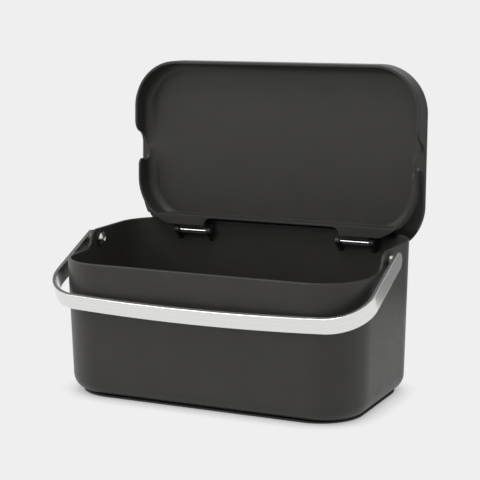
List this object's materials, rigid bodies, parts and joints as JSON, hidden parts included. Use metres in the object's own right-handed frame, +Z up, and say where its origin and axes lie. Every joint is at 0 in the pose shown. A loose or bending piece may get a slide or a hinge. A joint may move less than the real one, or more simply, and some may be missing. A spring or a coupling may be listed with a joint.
{
  "type": "countertop waste bin",
  "caption": "Rounded rectangular countertop food-waste bin with a hinged lid standing open and a flat steel carry handle resting on its front wall.",
  "frame": {"origin": "on the surface the bin stands on, under the middle of the bin", "axes": "+Z up, +X to the right seen from the front, the front with the handle faces -Y"},
  "size_m": [0.2958, 0.1899, 0.2803],
  "materials": {
    "grey_plastic": "fine matte, dark warm grey",
    "pad_rubber": "matte",
    "strap_steel": "brushed along its length",
    "pin_steel": "polished",
    "bush_plastic": "matte"
  },
  "bodies": {
    "bin": {"bin_body": "grey_plastic", "base_pad": "pad_rubber", "hinge_pin_left": "pin_steel", "hinge_pin_right": "pin_steel", "pivot_bush_left": "bush_plastic", "pivot_bush_right": "bush_plastic"},
    "lid": {"lid": "grey_plastic"},
    "handle": {"handle_strap": "strap_steel", "pivot_spacer_left": "pin_steel", "pivot_spacer_right": "pin_steel", "pivot_screw_left": "pin_steel", "pivot_screw_right": "pin_steel"}
  },
  "joints": [
    {"name": "lid_hinge", "type": "hinge", "parent": "bin", "child": "lid", "pos_m": [0, 0.0736, 0.124], "axis": [1, 0, 0], "range_deg": [0, 92.2]},
    {"name": "handle_hinge", "type": "hinge", "parent": "bin", "child": "handle", "pos_m": [0, 0, 0.1243], "axis": [-1, 0, 0], "range_deg": [0, 145]}
  ]
}
